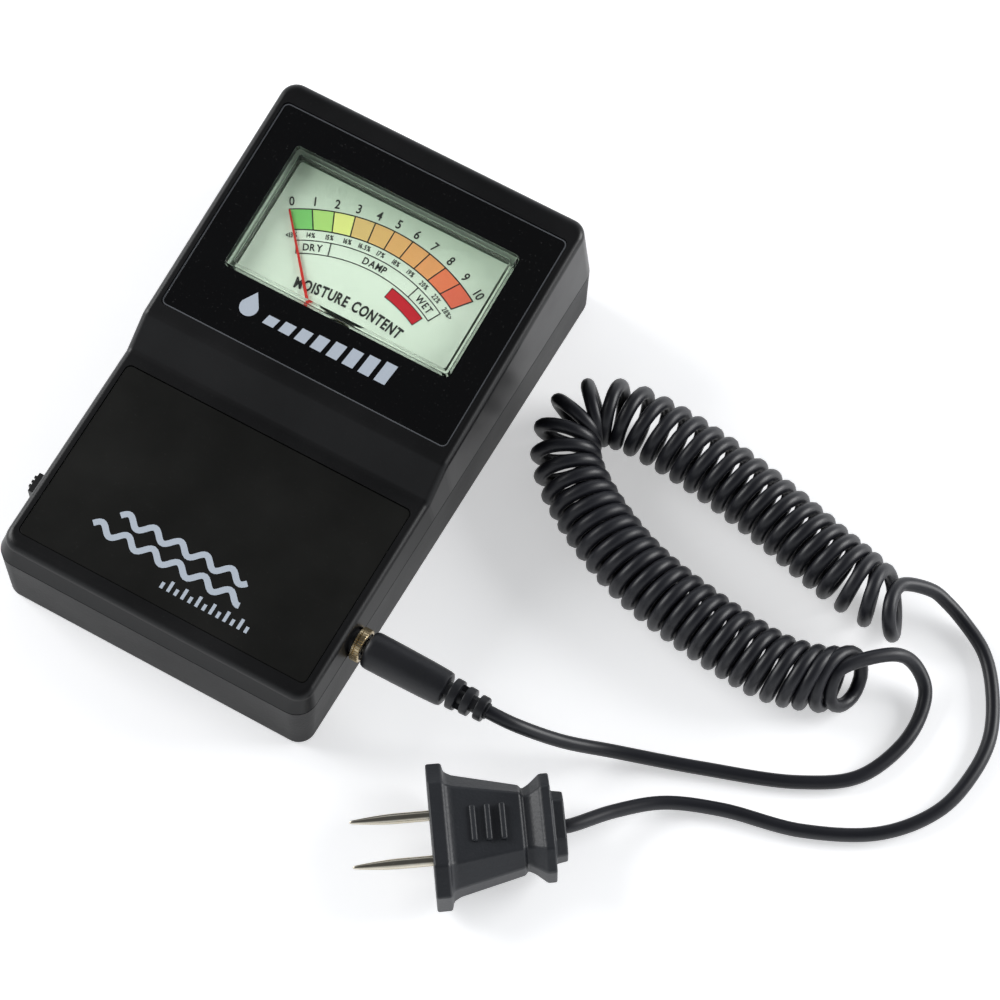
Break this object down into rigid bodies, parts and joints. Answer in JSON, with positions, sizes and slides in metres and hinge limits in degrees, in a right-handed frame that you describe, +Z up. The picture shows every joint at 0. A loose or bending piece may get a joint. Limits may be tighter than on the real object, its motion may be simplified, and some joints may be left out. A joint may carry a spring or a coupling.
{
  "type": "moisture meter",
  "caption": "Handheld moisture meter: black case with a window over a red needle on a green dial, a side switch, and a curly lead that plugs in and ends in a pointed pin probe.",
  "frame": {"origin": "centre of the case's underside, on the surface it lies on", "axes": "+X towards the side with the probe jack, +Y along the case towards the head with the dial, +Z up out of the dial"},
  "size_m": [0.2201, 0.1557, 0.0385],
  "materials": {
    "case_top_black": "satin moulded plastic",
    "case_base_black": "fine matte grain",
    "fascia_gloss": "glossy printed panel",
    "label_satin": "satin printed label",
    "window_clear": "clear polished plastic",
    "dial_green": "pale green printed card",
    "needle_red": "red paint",
    "movement_steel": "bright steel",
    "plated_nickel": "nickel plate",
    "terminal_brass": "plain brass",
    "coil_copper": "enamelled copper",
    "inner_plastic": "plain moulding",
    "component_black": "moulded resin",
    "board_green": "green solder mask",
    "resistor_tan": "lacquer",
    "trimmer_blue": "moulded plastic",
    "battery_wrap": "smooth wrap",
    "foam_grey": "soft foam",
    "wire_red": "insulated wire",
    "wire_black": "insulated wire",
    "cord_black": "satin cord jacket",
    "probe_grey": "fine moulded texture"
  },
  "bodies": {
    "case": {"lower_case": "case_base_black", "upper_case": "case_top_black", "fascia_panel": "fascia_gloss", "label_plate": "label_satin", "case_screw_1": "movement_steel", "case_screw_2": "movement_steel", "case_screw_3": "movement_steel", "case_screw_4": "movement_steel", "meter_cover": "window_clear", "meter_housing": "inner_plastic", "dial_plate": "dial_green", "magnet_yoke": "movement_steel", "magnet_core": "movement_steel", "upper_bridge": "terminal_brass", "lower_bridge": "terminal_brass", "upper_hairspring": "coil_copper", "lower_hairspring": "coil_copper", "movement_screw_1": "movement_steel", "movement_screw_2": "movement_steel", "meter_terminal_1": "terminal_brass", "meter_terminal_2": "terminal_brass", "meter_screw_1": "movement_steel", "meter_screw_2": "movement_steel", "main_board": "board_green", "amplifier_chip": "component_black", "capacitor_1": "component_black", "capacitor_2": "component_black", "trimmer": "trimmer_blue", "resistor_1": "resistor_tan", "resistor_2": "resistor_tan", "resistor_3": "resistor_tan", "board_screw_1": "movement_steel", "board_screw_2": "movement_steel", "battery": "battery_wrap", "battery_snap": "wire_black", "battery_lead_red": "wire_red", "battery_lead_black": "wire_black", "jack_lead": "wire_red", "switch_lead": "wire_black", "meter_lead_red": "wire_red", "meter_lead_black": "wire_black", "jack_socket": "component_black", "jack_nut": "plated_nickel", "switch_body": "component_black"},
    "movement": {"pointer": "needle_red", "moving_coil": "coil_copper"},
    "switch": {"switch_knob": "case_top_black"},
    "door": {"battery_door": "case_base_black", "foam_pad": "foam_grey"},
    "test_lead": {"plug_body": "cord_black", "plug_sleeve": "plated_nickel", "plug_tip": "plated_nickel", "meter_side_cord": "cord_black", "curly_cord": "cord_black", "probe_side_cord": "cord_black", "probe_body": "probe_grey", "probe_pin_1": "plated_nickel", "probe_pin_2": "plated_nickel"}
  },
  "joints": [
    {"name": "pointer_swing", "type": "hinge", "parent": "case", "child": "movement", "pos_m": [0, 0.00863, 0.0322], "axis": [0, 0.1167, -0.9932], "range_deg": [0, 81.4], "stiffness_Nm_per_rad": 0.0001},
    {"name": "switch_slide", "type": "slide", "parent": "case", "child": "switch", "axis": [0, 1, 0], "range_m": [-0.0025, 0.0025]},
    {"name": "door_swing", "type": "hinge", "parent": "case", "child": "door", "pos_m": [0, -0.0337, 0.0003], "axis": [1, 0, 0], "range_deg": [0, 45]},
    {"name": "lead_pull", "type": "slide", "parent": "case", "child": "test_lead", "axis": [1, 0, 0], "range_m": [0, 0.02]}
  ]
}
